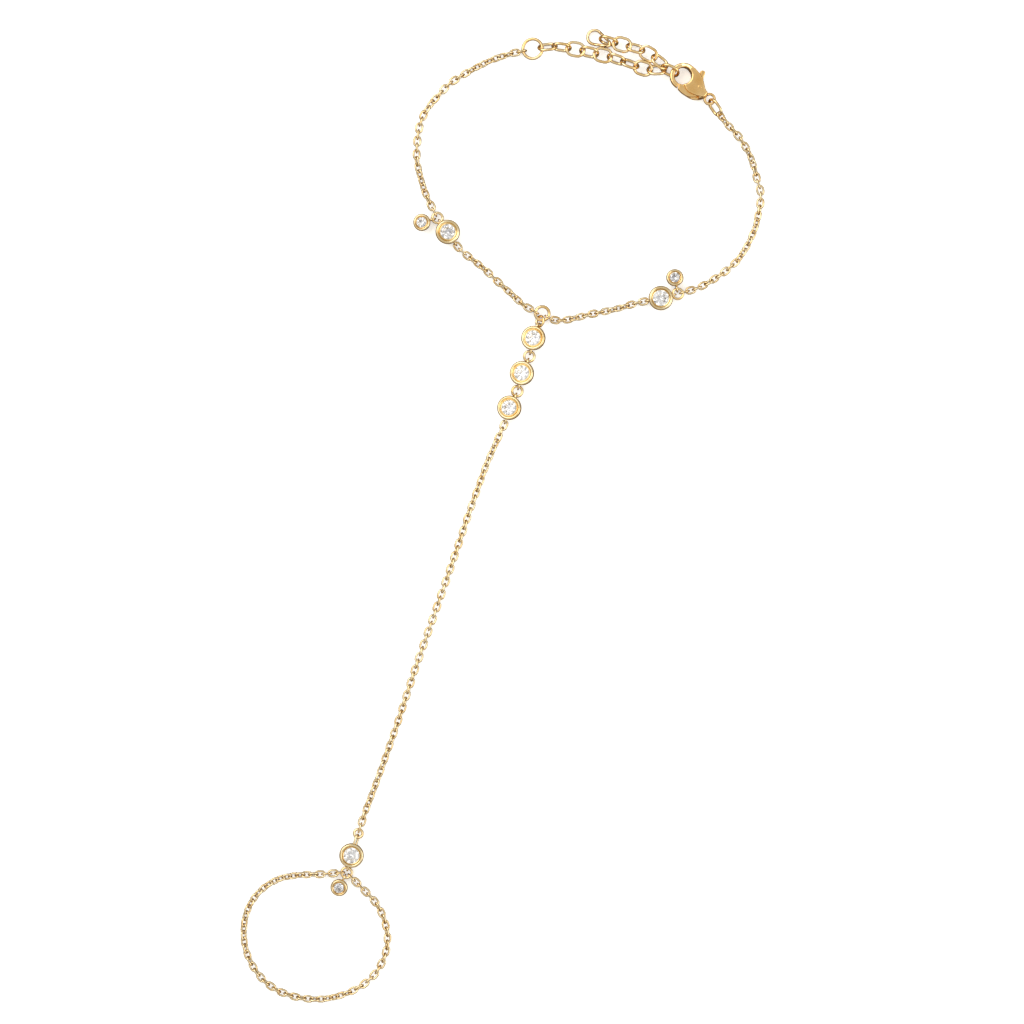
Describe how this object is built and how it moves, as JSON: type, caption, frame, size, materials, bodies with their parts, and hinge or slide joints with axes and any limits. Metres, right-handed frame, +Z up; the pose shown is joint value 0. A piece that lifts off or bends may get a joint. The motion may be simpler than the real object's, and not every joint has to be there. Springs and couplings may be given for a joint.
{
  "type": "hand chain bracelet",
  "caption": "Hand chain bracelet laid flat: wrist chain with lobster clasp and extender, bezel-set stones, a chain down the hand and a finger loop of chain.",
  "frame": {"origin": "middle of the outline in plan, on the surface that the bracelet lies on", "axes": "+Z up from the surface, +Y from the finger loop towards the clasp, +X to the right as seen from above"},
  "size_m": [0.0872, 0.1621, 0.0026],
  "materials": {
    "gold": "polished gold plating, yellow",
    "stone": "clear faceted round brilliant, polished"
  },
  "bodies": {
    "bracelet": {"clasp_body": "gold", "clasp_pin": "gold", "clasp_link": "gold", "extender_ring": "gold", "extender_run": "gold", "hooked_link": "gold", "extender_tail": "gold", "pear_ring": "gold", "wrist_chain_left_upper": "gold", "wrist_chain_left_lower": "gold", "wrist_chain_right_lower": "gold", "wrist_chain_right_upper": "gold", "left_bezel": "gold", "left_stone": "stone", "left_ring": "gold", "left_drop_bezel": "gold", "left_drop_stone": "stone", "right_bezel": "gold", "right_stone": "stone", "right_ring": "gold", "right_drop_bezel": "gold", "right_drop_stone": "stone", "junction_ring": "gold", "hand_ring_1": "gold", "hand_bezel_1": "gold", "hand_stone_1": "stone", "hand_ring_2": "gold", "hand_bezel_2": "gold", "hand_stone_2": "stone", "hand_ring_3": "gold", "hand_bezel_3": "gold", "hand_stone_3": "stone", "hand_chain": "gold", "finger_top_ring": "gold", "finger_bezel": "gold", "finger_stone": "stone", "finger_ring": "gold", "finger_drop_bezel": "gold", "finger_drop_stone": "stone", "finger_chain": "gold"},
    "lever": {"clasp_lever": "gold"}
  },
  "joints": [
    {"name": "lever_hinge", "type": "hinge", "parent": "bracelet", "child": "lever", "pos_m": [0.0328, 0.07118, 0.0012], "axis": [0, 0, -1], "range_deg": [0, 22], "stiffness_Nm_per_rad": 0.003}
  ]
}
